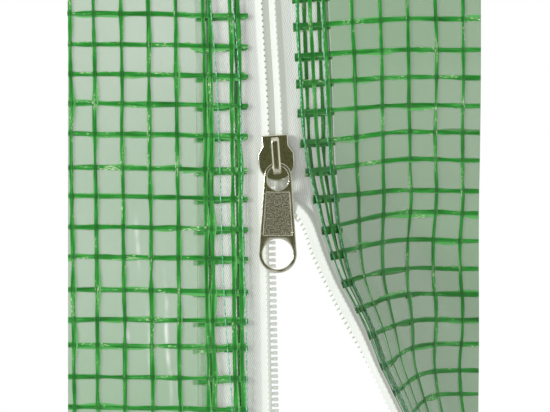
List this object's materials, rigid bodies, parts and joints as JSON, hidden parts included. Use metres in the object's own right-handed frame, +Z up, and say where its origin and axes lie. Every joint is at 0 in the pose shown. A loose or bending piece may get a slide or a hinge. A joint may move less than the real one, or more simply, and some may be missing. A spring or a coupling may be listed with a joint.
{
  "type": "polytunnel greenhouse door zip closure",
  "caption": "Length of a polytunnel door closure: two mesh-reinforced cover film edges joined by a white coil zip with a metal slider, opening below it, and a hanging pull tab.",
  "frame": {"origin": "middle of the straight cut edge of the left cover panel, at mid thickness of its film", "axes": "+Z up along the zip, +X from the left panel to the right one, -Y towards the outside of the tunnel"},
  "size_m": [0.118, 0.0477, 0.124],
  "materials": {
    "cover_film": "clear glossy film with a grey-green tint",
    "mesh_tape": "folded green flat tape",
    "zip_tape": "white twill",
    "zip_coil": "white monofilament",
    "slider_metal": "nickel plate"
  },
  "bodies": {
    "closure": {"left_film": "cover_film", "left_weft_tapes": "mesh_tape", "left_warp_tapes": "mesh_tape", "left_hem_weft_tapes": "mesh_tape", "left_hem_warp_tapes": "mesh_tape", "left_zip_tape": "zip_tape", "left_coil": "zip_coil", "right_film": "cover_film", "right_hem_flap": "cover_film", "right_weft_tapes": "mesh_tape", "right_warp_tapes": "mesh_tape", "right_hem_weft_tapes": "mesh_tape", "right_hem_warp_tapes": "mesh_tape", "right_zip_tape": "zip_tape", "right_coil_closed": "zip_coil", "right_coil_open": "zip_coil", "slider_front_plate": "slider_metal", "slider_back_plate": "slider_metal", "slider_post": "slider_metal", "slider_bail": "slider_metal"},
    "pull": {"pull_tab": "slider_metal"}
  },
  "joints": [
    {"name": "pull_swing", "type": "hinge", "parent": "closure", "child": "pull", "pos_m": [0.05995, -0.0023, 0.01186], "axis": [-1, 0, 0], "range_deg": [0, 150]}
  ]
}
